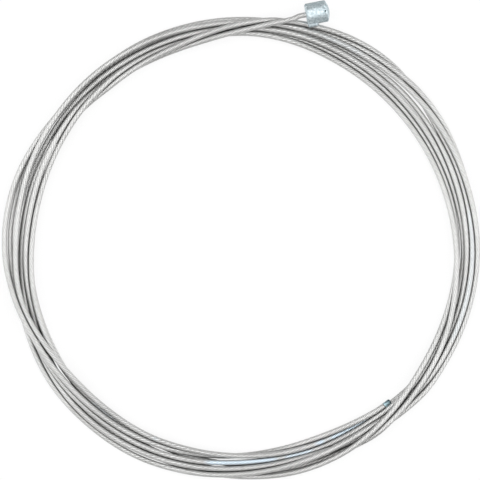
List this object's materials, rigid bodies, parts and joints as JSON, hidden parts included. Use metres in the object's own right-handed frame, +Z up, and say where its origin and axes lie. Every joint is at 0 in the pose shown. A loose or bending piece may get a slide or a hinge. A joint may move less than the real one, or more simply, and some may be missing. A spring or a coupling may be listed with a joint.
{
  "type": "shift cable",
  "caption": "Bicycle shift cable: a thin stainless strand with a small die-cast cylindrical head, wound into a flat round coil.",
  "frame": {"origin": "middle of the footprint, on the surface that the coil lies on", "axes": "+Z up through the coil, +X to the right and +Y away, with the head at the far side, as seen from above"},
  "size_m": [0.0984, 0.0982, 0.0052],
  "materials": {
    "strand": "bare drawn stainless wires, laid up and slightly dull",
    "head": "bare die-cast zinc alloy, satin, with a parting line",
    "solder": "bright fused and soldered wire ends"
  },
  "bodies": {
    "root": {"cable_head": "head", "cable_lead": "strand", "cable_coil": "strand", "cable_tail": "strand", "soldered_tip": "solder"}
  },
  "joints": []
}
